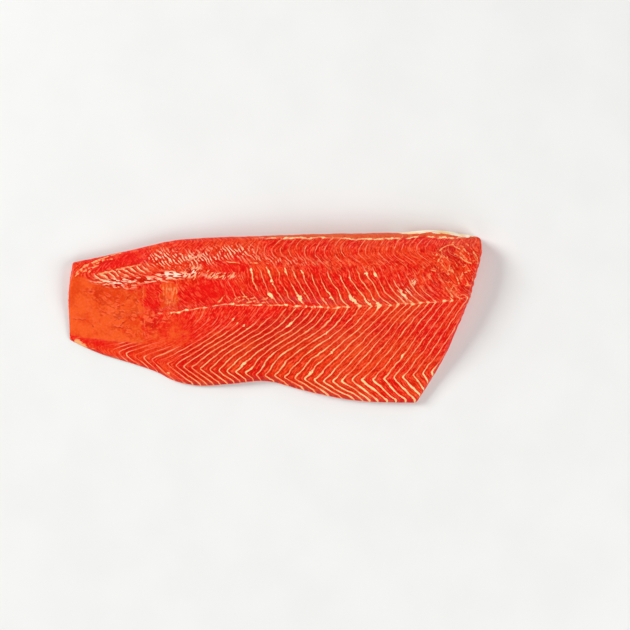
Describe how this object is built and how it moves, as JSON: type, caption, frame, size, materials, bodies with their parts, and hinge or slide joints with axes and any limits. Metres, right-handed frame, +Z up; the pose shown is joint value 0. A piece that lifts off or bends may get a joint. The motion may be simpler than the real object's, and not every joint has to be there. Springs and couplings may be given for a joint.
{
  "type": "raw salmon fillet",
  "caption": "Raw red salmon side lying skin down: thick loin along the back, thin belly flap, a backbone seam and knife-cut tail and head ends.",
  "frame": {"origin": "middle of the footprint's box, on the surface that the fillet lies on", "axes": "+X from the tail cut to the head cut, +Y from the belly edge to the back edge, +Z up from the skin side to the flesh side"},
  "size_m": [0.328, 0.1378, 0.025],
  "materials": {
    "flesh": "wet raw flesh with pale muscle lines"
  },
  "bodies": {
    "root": {"fillet": "flesh"}
  },
  "joints": []
}
